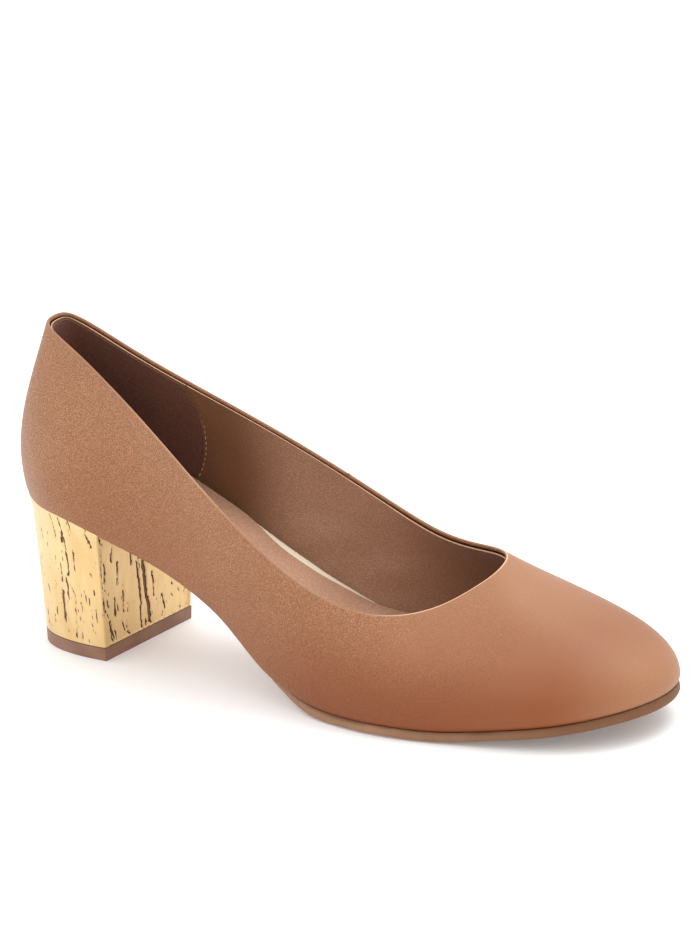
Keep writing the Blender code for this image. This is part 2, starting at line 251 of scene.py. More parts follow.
# %% [markdown]
# ### Leathers
# Dye gathers between the cells of a skin, so the valleys are darker and a little rougher than the cells.
# Where leather is pulled tight the cells flatten: a piece can carry a number per point, named stretch, that
# fades most of the grain to an even tone. Other pieces don't have it, and an absent number counts as zero.

# %% Leather finishes
BUMP_DISTANCE = 0.25 * MM
VALLEY_TONE = 0.52  # how dark the dye looks between the cells
VALLEY_EDGES = (0.72, 0.50)  # heights where a cell's top ends and where its valley is deepest
VALLEY_MEAN = 0.75  # share of that tone that is left where the grain is lost
VALLEY_ROUGHNESS = 0.12
STRETCH_LOSS = 0.85  # share of the grain that is lost where leather is pulled tight


class Finish(Nodes):
    """A material with its shader and the piece's own coordinates."""

    def __init__(self, name):
        self.material = bpy.data.materials.new(name)
        self.material.use_nodes = True
        super().__init__(self.material.node_tree)
        self.shader = self.tree.nodes["Principled BSDF"]
        self.place = self.add("TexCoord")["Object"]

    def set(self, inputs):
        self.join(self.shader, inputs)

    def bump(self, height, strength):
        inputs = {"Height": height, "Strength": strength, "Distance": BUMP_DISTANCE}
        self.set({"Normal": self.add("Bump", inputs)["Normal"]})

    def streaks(self, across, up, detail):
        """Noise that is drawn out across a piece or up it."""
        drawn = self.add("Mapping", {"Vector": self.place, "Scale": (across, across, up)})["Vector"]
        return self.noise(drawn, 1.0, detail)

    def point_value(self, name):
        """The number that points carry under a name."""
        return self.add("Attribute", attribute_name=name)["Fac"]


def skin(name, dark, light, roughness, cells_per_metre, relief, valley_share=0.5, sheen=0.0):
    """A leather: two dyes in patches, cells that darken where they meet, and a soft gloss."""
    finish = Finish(name)
    surface = finish.add("Group", {"Place": finish.place, "Cells": cells_per_metre}, node_tree=grain.tree)
    height = surface["Height"]
    dyed = finish.mix(surface["Patches"], dark, light)
    lost = finish.math("MULTIPLY", finish.point_value("stretch"), STRETCH_LOSS)
    left = finish.math("SUBTRACT", 1.0, lost)
    open_valley = finish.math("MULTIPLY", finish.spread(height, *VALLEY_EDGES), left)
    valley = finish.math("MULTIPLY_ADD", lost, VALLEY_MEAN, open_valley)
    deep = (*[part * VALLEY_TONE for part in dark[:3]], 1.0)
    finish.colour = finish.mix(finish.math("MULTIPLY", valley, valley_share), dyed, deep)
    gloss = finish.math("MULTIPLY_ADD", valley, VALLEY_ROUGHNESS, roughness)
    finish.set({"Base Color": finish.colour, "Roughness": gloss, "Sheen Weight": sheen})
    finish.bump(finish.math("MULTIPLY", finish.math("MULTIPLY", height, left), relief), strength=1.0)
    return finish


# two dyes, roughness, cells per metre and how high they stand
tan_leather = skin(
    "tan_leather", srgb(191, 131, 89), srgb(201, 141, 99), 0.44, 2600.0, 1.8, valley_share=0.95)
lining_leather = skin(
    "lining_leather", srgb(172, 127, 99), srgb(184, 138, 110), 0.55, 1900.0, 0.7, sheen=0.1)
grip_leather = skin("grip_leather", srgb(102, 58, 38), srgb(118, 70, 48), 0.60, 1700.0, 0.6, sheen=0.15)
sock_leather = skin(
    "sock_leather", srgb(194, 147, 117), srgb(206, 159, 129), 0.50, 1800.0, 0.5, sheen=0.05)
raw_edge = skin("raw_edge", srgb(204, 158, 122), srgb(218, 172, 136), 0.60, 2400.0, 0.4)
print("materials:", [material.name for material in bpy.data.materials])

# %% [markdown]
# ## Upper
# A pump's upper is one piece of leather pulled over the last, so its surface has no flats and no corners
# except at the collar. The solid has that shape in strips 4 to 6 mm wide. A face that looks towards a line
# through the middle of the foot is inside, and where inside and outside meet high up is the collar's edge.

# %% Inside, outside and the collar's edge
FOOT_LINE = ((-95.0, 78.0), (-50.0, 62.0), (5.0, 25.0), (90.0, 17.0))  # x and z in mm
foot_x, foot_z = np.array(FOOT_LINE).T * MM


def towards_foot(points):
    """Direction from each point to the line through the middle of the foot."""
    x = np.clip(points[:, 0], foot_x[0], foot_x[-1])
    middle = np.column_stack([x, np.zeros(len(x)), np.interp(x, foot_x, foot_z)])
    return middle - points


def faces_inside(shape):
    """Faces of a bmesh that look towards the foot."""
    shape.faces.ensure_lookup_table()
    centres = np.array([face.calc_center_median() for face in shape.faces])
    normals = np.array([face.normal for face in shape.faces])
    looking_in = np.einsum("ij,ij->i", normals, towards_foot(centres)) > 0.0
    return {face for face, inside in zip(shape.faces, looking_in) if inside}


def middle_of(edge):
    return (edge.verts[0].co + edge.verts[1].co) / 2.0


def quarter_points(edge):
    return [edge.verts[0].co.lerp(edge.verts[1].co, share) for share in (0.0, 0.25, 0.5, 0.75)]


def search_tree(points):
    tree = KDTree(len(points))
    for index, point in enumerate(points):
        tree.insert(point, index)
    tree.balance()
    return tree


RIM_ABOVE_FOOT = 6.0 * MM
upper_solid = welded_quads("upper")
inside_faces = faces_inside(upper_solid)
rim_points = []
for edge in upper_solid.edges:
    sides = {face in inside_faces for face in edge.link_faces}
    middle = middle_of(edge)
    if len(sides) == 2 and middle.z > np.interp(middle.x, foot_x, foot_z) + RIM_ABOVE_FOOT:
        rim_points.extend(quarter_points(edge))
rim = search_tree(rim_points)
print("collar edge:", len(rim_points), "points")

# %% [markdown]
# ### Side seam
# The ends of the leather are joined at the inner side of the waist, where a small knot shows in the
# collar. The strip of quads that holds the seam is split in four, and the new line in its middle is
# marked. Once the leather is smooth, that line is sunk outside and raised where it crosses the rim.

# %% Line of the side seam
SEAM_SPOT = Vector((-7.2, 29.7, 58.9)) * MM
SEAM_CUTS = 3
ALONG = 0.7  # edges that run along the shoe more than this


def edge_ring(start):
    """Edges across one strip of quads, all the way round the wall."""
    ring = [start]
    edge = start
    face = start.link_faces[0]
    while len(face.edges) == 4:
        edge = next(other for other in face.edges if not set(other.verts) & set(edge.verts))
        if edge is start:
            break
        ring.append(edge)
        face = next(other for other in edge.link_faces if other is not face)
    return ring


shell = welded_quads("upper")
seam = shell.verts.layers.float.new("seam")
lengthwise = [edge for edge in shell.edges
              if abs(edge.verts[1].co.x - edge.verts[0].co.x) > ALONG * edge.calc_length()]
seam_ring = edge_ring(min(lengthwise, key=lambda edge: (middle_of(edge) - SEAM_SPOT).length))
seam_line = [middle_of(edge) for edge in seam_ring]
bmesh.ops.subdivide_edges(shell, edges=seam_ring, cuts=SEAM_CUTS)
for vertex in shell.verts:
    if min((vertex.co - point).length for point in seam_line) < WELD:
        vertex[seam] = 1.0
print("side seam:", len(seam_line), "steps round the wall")

# %% [markdown]
# ### Folded collar
# The leather turns over tightly at the collar and ends just below, and the lining starts a little lower, so a
# dark groove shows between the two. The solid has a plain half-round rim there. Its rows of points are drawn
# in to a narrow bead, and three more rows, cut in below it with one subdivision, make the groove. The inside
# of the bead and the groove also carry painted shade, and the bead's outer shoulder a painted highlight.

# %% Folded collar edge
RIM_STEP = 0.8 * MM  # the solid's rim is drawn in steps shorter than this
RIM_NEAR = 2.0 * MM
GROOVE_ROWS = 3
# mm in from the outside, and mm above the foot of the solid's round: the rim's five rows, then the groove's
FOLD_SECTION = ((0.0, 0.0), (0.06, 0.62), (0.45, 0.92), (1.00, 0.78), (1.30, 0.20),
                (1.22, -0.36), (0.94, -0.62), (1.00, -1.10))
# painted shade, row by row: the inside of the bead is darker and the groove darkest
GROOVE_SHADE = (0.0, 0.0, 0.1, 0.25, 0.3, 0.5, 1.0, 1.0)
# painted highlight: the rim's outer shoulder is painted paler
EDGE_SHINE = (0.0, 1.0, 0.0, 0.0, 0.0, 0.0, 0.0, 0.0)
THROAT = (25.0 * MM, 50.0 * MM)  # the painted highlight on the edge is palest round the front of the opening
SHINE_BEHIND = 0.4


def rim_neighbours(vertex):
    return [edge.other_vert(vertex) for edge in vertex.link_edges if edge.calc_length() < RIM_STEP]


def rim_rows(shape):
    """For each place along the collar, the five points across its rim, from the outside in."""
    rows = []
    for crown in shape.verts:
        shoulders = rim_neighbours(crown)
        if len(shoulders) != 2 or rim.find(crown.co)[2] > RIM_NEAR:
            continue
        ends = [point for shoulder in shoulders for point in rim_neighbours(shoulder) if point is not crown]
        if len(ends) != 2 or any(len(rim_neighbours(point)) != 1 for point in ends):
            continue
        row = [ends[0], shoulders[0], crown, shoulders[1], ends[1]]
        reach = np.linalg.norm(towards_foot(np.array([row[0].co, row[-1].co])), axis=1)
        rows.append(row if reach[0] > reach[1] else row[::-1])
    return rows


groove = shell.verts.layers.float.new("groove")
edge_highlight = shell.verts.layers.float.new("edge_highlight")
rows = rim_rows(shell)
on_rim = {point for row in rows for point in row}
down_edges = [edge for row in rows for edge in row[-1].link_edges if edge.other_vert(row[-1]) not in on_rim]
bmesh.ops.subdivide_edges(shell, edges=down_edges, cuts=GROOVE_ROWS)
rows = rim_rows(shell)
moves = []
for row in rows:
    outside = row[0].co.copy()
    inside = row[-1].co.copy()
    inward = (inside - outside).normalized()
    up = (row[2].co - (outside + inside) / 2.0).normalized()
    for _ in range(GROOVE_ROWS):
        last = row[-1]
        beside = [edge.other_vert(last) for edge in last.link_edges if edge.other_vert(last) not in row]
        row.append(min(beside, key=lambda point: (point.co - last.co).normalized().dot(up)))
    edge_highlight_share = SHINE_BEHIND + (1.0 - SHINE_BEHIND) * float(smooth_step(*THROAT, outside.x))
    for point, (across, above), shade, shine in zip(row, FOLD_SECTION, GROOVE_SHADE, EDGE_SHINE):
        moves.append((point, outside + (inward * across + up * above) * MM, shade, shine * edge_highlight_share))
for point, place, shade, shine in moves:
    point.co = place
    point[groove] = shade
    point[edge_highlight] = shine
print("collar rows:", len(rows))

# %% [markdown]
# ### Lasted leather
# Two rounds of subdivision make the strips as smooth as stretched leather and keep their form. Painted shade
# darkens the leather towards the edge of the sole, so each point keeps a share of that tone.

# %% Smooth leather over the lasted form
LOW_SHADE_HEIGHTS = (44.0 * MM, 1.0 * MM)  # above the sole, from its start to its full tone
LOW_SHADE_BEHIND = 0.4  # share of it at the waist, and the full share at the forefoot
FOREFOOT = (-20.0 * MM, 25.0 * MM)
TOE_CAP = (96.0 * MM, 126.0 * MM)  # the painted shade fades out towards the tip
TIGHT_SLOPE = (0.55, 0.90)  # leather that looks up more than this is pulled tight over the vamp
TIGHT_TOE = (58.0 * MM, 92.0 * MM)  # and so is the toe
SEAM_DEPTH = 0.4 * MM
SEAM_KNOT = 0.35 * MM
SEAM_BANK = (0.1, 0.9)  # from a seam's edge to its middle
KNOT_REACH = (2.0 * MM, 0.8 * MM)  # from the collar's edge
HIGHLIGHT_PART = (0.45, 0.95)  # of a mark, where its colour starts and where it is full
SEWN_PART = (0.45, 1.2)
# colour of the painted shade near the sole
LOW_SHADE_COLOUR = srgb(133, 66, 19)
HIGHLIGHT_COLOUR = srgb(240, 196, 160)
SEAM_COLOUR = srgb(104, 58, 34)
GROOVE_SHADE_COLOUR = srgb(104, 60, 38)


def surface_of(mesh):
    """Surface to look up rays and nearest places on."""
    return BVHTree.FromPolygons([vertex.co for vertex in mesh.vertices],
                                [face.vertices[:] for face in mesh.polygons])


upper = add_piece("upper_leather", shell, [tan_leather])
upper_mesh = subdivided(upper, 2)
leather_surface = surface_of(upper_mesh)
leather_points = points_of(upper_mesh)
leather_normals = normals_of(upper_mesh)
leather_x = leather_points[:, 0]
sole = search_tree(points_of(nodes["outsole"].data))
above_sole = np.array([sole.find(point)[2] for point in leather_points])
# painted shade: darker towards the sole, weaker at the waist, full at the forefoot and fading at the tip
low_shade_share = LOW_SHADE_BEHIND + (1.0 - LOW_SHADE_BEHIND) * smooth_step(*FOREFOOT, leather_x)
low_shade_share -= smooth_step(*TOE_CAP, leather_x)
put_attribute(upper_mesh, "low_shade", smooth_step(*LOW_SHADE_HEIGHTS, above_sole) * low_shade_share)
tight = np.maximum(smooth_step(*TIGHT_SLOPE, leather_normals[:, 2]), smooth_step(*TIGHT_TOE, leather_x))
put_attribute(upper_mesh, "stretch", tight)
seam_share = np.empty(len(leather_points))
upper_mesh.attributes["seam"].data.foreach_get("value", seam_share)
at_rim = smooth_step(*KNOT_REACH, np.array([rim.find(point)[2] for point in leather_points]))
looks_out = np.einsum("ij,ij->i", leather_normals, towards_foot(leather_points)) < 0.0
sunk = np.where(looks_out, SEAM_DEPTH, 0.0) * (1.0 - at_rim) - SEAM_KNOT * at_rim
sunk *= smooth_step(*SEAM_BANK, seam_share)
put_points(upper_mesh, leather_points - leather_normals * sunk[:, None])

low_shaded = tan_leather.mix(tan_leather.point_value("low_shade"), tan_leather.colour, LOW_SHADE_COLOUR)
# painted highlight along the collar's outer shoulder
on_edge = tan_leather.spread(tan_leather.point_value("edge_highlight"), *HIGHLIGHT_PART)
highlighted = tan_leather.mix(on_edge, low_shaded, HIGHLIGHT_COLOUR)
in_seam = tan_leather.spread(tan_leather.point_value("seam"), *SEWN_PART)
sewn = tan_leather.mix(in_seam, highlighted, SEAM_COLOUR)
dressed = tan_leather.mix(tan_leather.point_value("groove"), sewn, GROOVE_SHADE_COLOUR)
tan_leather.set({"Base Color": dressed, "Specular IOR Level": 0.4,
                 "Coat Weight": 0.12, "Coat Roughness": 0.4})
show(upper, "upper_leather", "upper")

# %% [markdown]
# ## Lining
# The lining is a thinner leather glued inside the upper, and it stops short of the collar. It is the
# solid's own inside, lifted off as a sheet and given a thickness, so it can't leave the wall. A glued
# lining never lies quite flat: three soft swells are listed at the inner side.

# %% Lining of the upper
LINING_THICKNESS = 0.45 * MM
LINING_BELOW_ROUND = 0.3 * MM
ROUND_NEAR = 1.0 * MM  # faces this near to the collar's edge belong to its round
BED_SLOPE = 0.45  # faces that look up more than this lie under the sock
BACK_SHADE = (-24.0 * MM, -54.0 * MM)  # painted shade: the lining is darker towards the heel and the toe
TOE_SHADE = (-2.0 * MM, 48.0 * MM)
TOE_SHADE_SHARE = 0.85
SHADE_COLOUR = srgb(115, 75, 44)
# Soft swells of the lining at the inner side: x, height, half length, half height and swell, in mm
LINING_SWELLS = ((-21.0, 38.0, 20.0, 9.0, 1.1), (6.0, 27.0, 14.0, 7.0, 0.6), (-58.0, 56.0, 9.0, 9.0, 0.6))


def inside_sheet(below_round):
    """Copy of the inside as a sheet, its upper edge slid down from the foot of the rim's round."""
    sheet = welded_quads("upper")
    kept = faces_inside(sheet)
    unwanted = []
    for face in sheet.faces:
        on_round = rim.find(face.calc_center_median())[2] < ROUND_NEAR
        if face not in kept or face.normal.z > BED_SLOPE or on_round:
            unwanted.append(face)
    bmesh.ops.delete(sheet, geom=unwanted, context="FACES")
    moves = {}
    for vertex in sheet.verts:
        if vertex.is_boundary and rim.find(vertex.co)[2] < RIM_NEAR:
            down = next(edge for edge in vertex.link_edges if not edge.is_boundary)
            below = down.other_vert(vertex).co
            moves[vertex] = vertex.co + (below - vertex.co).normalized() * below_round
    for vertex, place in moves.items():
        vertex.co = place
    return sheet


lining = add_piece("lining", inside_sheet(LINING_BELOW_ROUND), [lining_leather, raw_edge])
subdivided(lining, 2)
for x, height, half_length, half_height, swell in LINING_SWELLS:
    for vertex in lining.data.vertices:
        reach = math.hypot((vertex.co.x / MM - x) / half_length, (vertex.co.z / MM - height) / half_height)
        if vertex.co.y > 0.0 and reach < 1.0:
            vertex.co += vertex.normal * swell * MM * math.cos(reach * math.pi / 2.0) ** 2
add_modifier(lining, "SOLIDIFY", thickness=LINING_THICKNESS, offset=1.0, material_offset_rim=1)
lining_mesh = bake_modifiers(lining)
lining_x = points_of(lining_mesh)[:, 0]
shade = smooth_step(*BACK_SHADE, lining_x) + TOE_SHADE_SHARE * smooth_step(*TOE_SHADE, lining_x)
put_attribute(lining_mesh, "shade", shade)
lining_tint = lining_leather.mix(lining_leather.point_value("shade"), lining_leather.colour, SHADE_COLOUR)
lining_leather.set({"Base Color": lining_tint})
show(lining, "insole_sock")

# %% [markdown]
# ### Heel grip
# A darker, rougher leather lines the heel so that the foot doesn't slip out. It is the same sheet again,
# lifted on to the lining. To cut it along a curved seam it is bent till the seam is flat, cut and bent back.

# %% Heel grip
SEAM_X = -63.3 * MM
SEAM_HEIGHT = 73.0 * MM
SEAM_BEND = 17.0  # per metre: how fast the seam curves back above and below its middle
GRIP_BELOW_ROUND = 1.0 * MM
GRIP_LIFT = 0.45 * MM


def bend_seam(shape, direction):
    """Shift points along the shoe so that the curved seam becomes a flat cut, or back again."""
    for vertex in shape.verts:
        vertex.co.x += direction * SEAM_BEND * (vertex.co.z - SEAM_HEIGHT) ** 2


def cut_flat(shape, point, normal, **options):
    bmesh.ops.bisect_plane(shape, geom=shape.verts[:] + shape.edges[:] + shape.faces[:], dist=WELD,
                           plane_co=point, plane_no=normal, **options)


grip = add_piece("heel_grip", inside_sheet(GRIP_BELOW_ROUND), [grip_leather, raw_edge])
cut = bmesh.new()
cut.from_mesh(subdivided(grip, 2))
bend_seam(cut, 1.0)
cut_flat(cut, (SEAM_X, 0.0, 0.0), (1.0, 0.0, 0.0), clear_outer=True)
bend_seam(cut, -1.0)
cut.normal_update()
for vertex in cut.verts:
    vertex.co += vertex.normal * GRIP_LIFT
cut.to_mesh(grip.data)
cut.free()
add_modifier(grip, "SOLIDIFY", thickness=LINING_THICKNESS, offset=1.0)
bake_modifiers(grip)
show(grip, "insole_sock")

# %% [markdown]
# A short row of pale thread holds the lining to the grip. Each stitch is a grain of thread lying along the
# seam, so one small ball, stretched and set on the lining again and again, is all it needs.

# %% Stitches along the heel grip
STITCH_PITCH = 2.1 * MM
STITCH_FROM_SEAM = 1.3 * MM
STITCH_SIZE = (0.22 * MM, 0.20 * MM, 0.70 * MM)
STITCH_HEIGHTS = (54.0 * MM, 88.0 * MM)
THREAD_SHADED = (68.0 * MM, 78.0 * MM)  # painted shade: pale below and dark above
THREAD_TWIST = 1400.0  # turns per metre

lining_surface = surface_of(lining.data)
stitches = bmesh.new()
for side in (-1.0, 1.0):
    for height in np.arange(*STITCH_HEIGHTS, STITCH_PITCH):
        from_middle = height - SEAM_HEIGHT
        start = Vector((SEAM_X - SEAM_BEND * from_middle ** 2 + STITCH_FROM_SEAM, 0.0, height))
        spot, normal, *_ = lining_surface.ray_cast(start, Vector((0.0, side, 0.0)))
        if spot is None:
            continue
        along = Vector((-2.0 * SEAM_BEND * from_middle, 0.0, 1.0))
        across = along.cross(normal).normalized()
        axes = Matrix((across, normal, across.cross(normal))).transposed()
        place = Matrix.LocRotScale(spot, axes, Vector(STITCH_SIZE))
        bmesh.ops.create_uvsphere(stitches, u_segments=8, v_segments=6, radius=1.0, matrix=place)
thread = Finish("pale_thread")
twist = thread.add("TexWave", {"Vector": thread.place, "Scale": THREAD_TWIST, "Distortion": 1.0})["Fac"]
thread_tint = thread.mix(twist, srgb(170, 130, 100), srgb(222, 190, 156))
thread_height = thread.add("SeparateXYZ", {0: thread.place})["Z"]
thread_shade = thread.spread(thread_height, *THREAD_SHADED)
shaded_thread = thread.mix(thread_shade, thread_tint, srgb(92, 58, 40))
thread.set({"Base Color": shaded_thread, "Roughness": 0.6})
seam_thread = add_piece("grip_stitches", stitches, [thread])
seam_thread.data.shade_smooth()
show(seam_thread, "insole_sock")

# %% [markdown]
# ## Insole cover and sock pad
# The foot stands on a padded sock that is glued to the insole board. The board's own pale metallic cover
# shows as a thin crescent at the inner waist, where the pad is cut narrower. The pad is thin and held down
# all over, so its shape is given: a smooth top, a low crown and a rolled edge.

# %% Insole cover
COVER_BELOW_PAD = 0.8 * MM
UPWARD = 0.3  # faces that look up more than this are the board's top and its rounded edge
BRUSH_MARKS = 900.0  # per metre
TREAD_RISE = 2.2 * MM  # board and pad are thicker under the ball of the foot
TREAD_FROM = (-32.0 * MM, 2.0 * MM)
MEETS_LINING = (-20.0 * MM, -2.0 * MM)  # from here on the inner edge reaches the lining
LEAVES_LINING = (34.0 * MM, 22.0 * MM)
FROM_LINING = 0.35 * MM
INNER_SIDE = (2.0 * MM, 17.0 * MM)
BESIDE = 3.0 * MM  # points this near along the shoe share a section

cover_foil = Finish("cover_foil")
brushed = cover_foil.noise(cover_foil.place, BRUSH_MARKS, 3.0)
cover_tint = cover_foil.mix(brushed, srgb(246, 232, 198), srgb(255, 249, 232))
cover_foil.set({"Base Color": cover_tint, "Metallic": 0.05, "Roughness": 0.38})
cover_foil.bump(brushed, strength=0.2)


def fit_tread(points):
    """Raise the tread, and widen it to the lining at the inner side."""
    for vertex in points:
        vertex.co.z += TREAD_RISE * float(smooth_step(*TREAD_FROM, vertex.co.x))
    shifts = []
    for vertex in points:
        meets = float(smooth_step(*MEETS_LINING, vertex.co.x) * smooth_step(*LEAVES_LINING, vertex.co.x))
        if meets > 0.0:
            middle = Vector((vertex.co.x, 0.0, vertex.co.z))
            wall = lining_surface.ray_cast(middle, Vector((0.0, 1.0, 0.0)))[0]
            widest = max(other.co.y for other in points if abs(other.co.x - vertex.co.x) < BESIDE)
            shifts.append((vertex, meets * (wall.y - FROM_LINING - widest)))
    for vertex, shift in shifts:
        vertex.co.y += shift * float(smooth_step(*INNER_SIDE, vertex.co.y))


board = welded_quads("insole")
top_points = {vertex for face in board.faces if face.normal.z > UPWARD for vertex in face.verts}
fit_tread(top_points)
bmesh.ops.translate(board, verts=list(top_points), vec=(0.0, 0.0, -COVER_BELOW_PAD))
insole_cover = add_piece("insole_cover", board, [cover_foil])
bake_modifiers(insole_cover)
show(insole_cover, "insole_sock")

# %% [markdown]
# ### Sock pad
# The pad starts as the top of the insole. It is drawn in from its edge, cut narrower at the inner waist, made
# smooth, raised to a low crown, thickened downwards and rounded off at the edge like stitched foam.

# %% Sock pad
TOP_FACING = 0.6  # faces that look up more than this are the insole's top
PAD_INSET = 0.5 * MM
PAD_THICKNESS = 1.4 * MM
PAD_EDGE = 0.6 * MM
PAD_CROWN = 0.7 * MM
PAD_CROWN_REACH = 10.0 * MM
CRESCENT_MIDDLE = -25.0 * MM
CRESCENT_BACK = 18.0 * MM
CRESCENT_FRONT = 46.0 * MM
CRESCENT_WIDTH = 3.9 * MM


def crescent(x):
    """How far the pad is cut in from the lining at the inner waist."""
    reach = CRESCENT_BACK if x < CRESCENT_MIDDLE else CRESCENT_FRONT
    angle = min(abs(x - CRESCENT_MIDDLE) / reach, 1.0) * math.pi / 2.0
    return CRESCENT_WIDTH * math.cos(angle)


def round_edges(piece, width, segments, degrees):
    add_modifier(piece, "BEVEL", width=width, segments=segments, limit_method="ANGLE",
                 angle_limit=math.radians(degrees))


pad = welded_quads("insole")
bmesh.ops.delete(pad, geom=[face for face in pad.faces if face.normal.z < TOP_FACING], context="FACES")
pulls = {vertex: Vector() for vertex in pad.verts if vertex.is_boundary}
for edge in pad.edges:
    if edge.is_boundary:
        inward = edge.link_faces[0].calc_center_median() - middle_of(edge)
        run = (edge.verts[1].co - edge.verts[0].co).normalized()
        inward -= run * inward.dot(run)
        for vertex in edge.verts:
            pulls[vertex] += inward.normalized()
for vertex, pull in pulls.items():
    vertex.co += pull.normalized() * PAD_INSET
fit_tread(pad.verts)
for vertex in pad.verts:
    vertex.co.y -= crescent(vertex.co.x) * float(smooth_step(*INNER_SIDE, vertex.co.y))
sock_pad = add_piece("sock_pad", pad, [sock_leather])
pad_mesh = subdivided(sock_pad, 2)

uses = np.bincount([loop.edge_index for loop in pad_mesh.loops])
edge_points = {point for edge in pad_mesh.edges if uses[edge.index] == 1 for point in edge.vertices}
pad_edge = search_tree([pad_mesh.vertices[point].co for point in edge_points])
for vertex in pad_mesh.vertices:
    vertex.co.z += PAD_CROWN * float(smooth_step(0.0, PAD_CROWN_REACH, pad_edge.find(vertex.co)[2]))
add_modifier(sock_pad, "SOLIDIFY", thickness=PAD_THICKNESS, offset=-1.0)
round_edges(sock_pad, PAD_EDGE, segments=4, degrees=50.0)
bake_modifiers(sock_pad)
show(sock_pad, "insole_sock", "insole")

# %% [markdown]
# ## Outsole and top piece
# Both are moulded rubber, cut from sheet and sanded at the edge. Their solids have the right outline, so a
# copy only needs a smooth edge, and the finish brings fine sanding marks and a slightly dusty tone. Painted
# shade darkens the outsole towards its tip.

# %% Rubber finish
FRONT_SHADE = (35.0 * MM, 105.0 * MM)  # painted shade, from the ball to the tip of the sole
DUST_PER_METRE = 120.0
SANDING = (300.0, 2500.0, 2.0)  # marks per metre across and up, and their detail
SANDED_ROUGHNESS = 0.15


def rubber(name, dark, light, front, roughness):
    """Moulded rubber, with the colour of the painted shade at its front end."""
    finish = Finish(name)
    dust = finish.noise(finish.place, DUST_PER_METRE, 5.0)
    sanding = finish.streaks(*SANDING)
    tint = finish.mix(finish.spread(dust, *NOISE_SPREAD), dark, light)
    along = finish.add("SeparateXYZ", {0: finish.place})["X"]
    front_shaded = finish.mix(finish.spread(along, *FRONT_SHADE), tint, front)
    gloss = finish.math("MULTIPLY_ADD", sanding, SANDED_ROUGHNESS, roughness)
    finish.set({"Base Color": front_shaded, "Specular IOR Level": 0.3, "Roughness": gloss})
    finish.bump(sanding, strength=0.25)
    return finish


# the third colour is the painted shade at the front end
sole_rubber = rubber("sole_rubber", srgb(148, 110, 84), srgb(162, 122, 95), srgb(116, 78, 51), 0.55)
lift_rubber = rubber("lift_rubber", srgb(130, 94, 76), srgb(148, 110, 90), srgb(130, 94, 76), 0.42)
print("rubbers:", sole_rubber.material.name, lift_rubber.material.name)

# %% [markdown]
# ### Outsole
# The sole is cemented to the lasted upper under pressure, so its top edge closes against the round edge of
# the leather. Points of the top that lie just below the leather are raised to it, and the rest stay put.

# %% Outsole
FLAT_END = 0.9  # the back end of the outsole looks along the shoe more than this
SEAT_FACING = 0.5  # the top looks up more than this
SEAT_NEAR = 0.8 * MM  # it is pressed up against the upper where it is this near
SEAT_REACH = 2.2 * MM
SEAT_GAP = 0.12 * MM

sole_shape = welded_quads("outsole")
crease = sole_shape.edges.layers.float.new("crease_edge")
for edge in sole_shape.edges:
    if any(face.normal.x < -FLAT_END for face in edge.link_faces):
        edge[crease] = 1.0
outsole = add_piece("outsole_rubber", sole_shape, [sole_rubber])
sole_mesh = subdivided(outsole, 2)
for vertex in sole_mesh.vertices:
    height = leather_surface.ray_cast(vertex.co, Vector((0.0, 0.0, 1.0)), SEAT_REACH)[3]
    if vertex.normal.z > SEAT_FACING and height is not None:
        vertex.co.z += max(height - SEAT_GAP, 0.0) * float(smooth_step(SEAT_REACH, SEAT_NEAR, height))
show(outsole, "outsole_rubber", "outsole")

# %% [markdown]
# ### Top piece
# The heel stands on a flat piece of harder rubber that can be replaced. It keeps its plain shape, and only
# its edges are broken by a small bevel, as a grinding wheel leaves them.

# %% Top piece
LIFT_EDGE = 0.5 * MM

lift = add_piece("top_piece_rubber", welded_quads("top_piece"), [lift_rubber])
round_edges(lift, LIFT_EDGE, segments=3, degrees=30.0)
bake_modifiers(lift)
show(lift, "top_piece_rubber", "top_piece")

# %% [markdown]
# ## Heel
# The block is wrapped in a sheet of cork with gold foil on it. Cork splits along its grain, so dark slits
# run down the heel. They are real troughs here: each slit is a short line in the cork's own coordinates,
# round the heel and up it, and the points near it are pushed in and marked for the finish.

# %% Heel block
HEEL_ROW = 4.0 * MM
HEEL_ROWS_END = 45.0 * MM
BREAST_ROUND = 0.8 * MM
BREAST_FACING = 0.9  # the breast looks along the shoe more than this
SIDE_FACING = 0.4  # and the sides look across it more than this
CAP_FACING = 0.7  # faces that look up or down more than this are the block's ends

heel_low, heel_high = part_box("heel")
heel_shape = welded_quads("heel")
corner_edges = []
for edge in heel_shape.edges:
    breast = [face for face in edge.link_faces if face.normal.x > BREAST_FACING]
    sides = [face for face in edge.link_faces if abs(face.normal.y) > SIDE_FACING]
    if breast and sides:
        corner_edges.append(edge)
bmesh.ops.bevel(heel_shape, geom=corner_edges, offset=BREAST_ROUND, affect="EDGES", segments=3,
                profile=0.5, material=-1)
for height in np.arange(heel_low.z + HEEL_ROW, HEEL_ROWS_END, HEEL_ROW):
    cut_flat(heel_shape, (0.0, 0.0, height), (0.0, 0.0, 1.0))
heel_shape.normal_update()
crease = heel_shape.edges.layers.float.new("crease_edge")
seat_points = []
for edge in heel_shape.edges:
    walls = [face for face in edge.link_faces if abs(face.normal.z) <= CAP_FACING]
    if 0 < len(walls) < len(edge.link_faces):
        edge[crease] = 1.0
        at_seat = any(face.normal.z > CAP_FACING for face in edge.link_faces)
        if at_seat and walls[0].normal.x <= BREAST_FACING:
            seat_points.extend((point, walls[0].normal.copy()) for point in quarter_points(edge))
print("heel corners:", len(corner_edges), "points round the seat:", len(seat_points))

# %% [markdown]
# ### Room for the slits
# Most slits are under a millimetre wide, so the heel's wall needs points closer than that. The sides are
# fine enough after three subdivisions. The breast is one face wide, and is cut into strips first.

# %% Finer strips for the slits
BREAST_CUTS = 15
UPRIGHT = 0.35  # edges that rise less than this share of their length run across the breast
WALL_FACING = 0.5  # walls look up or down less than this
FLAT_BREAST = 0.97

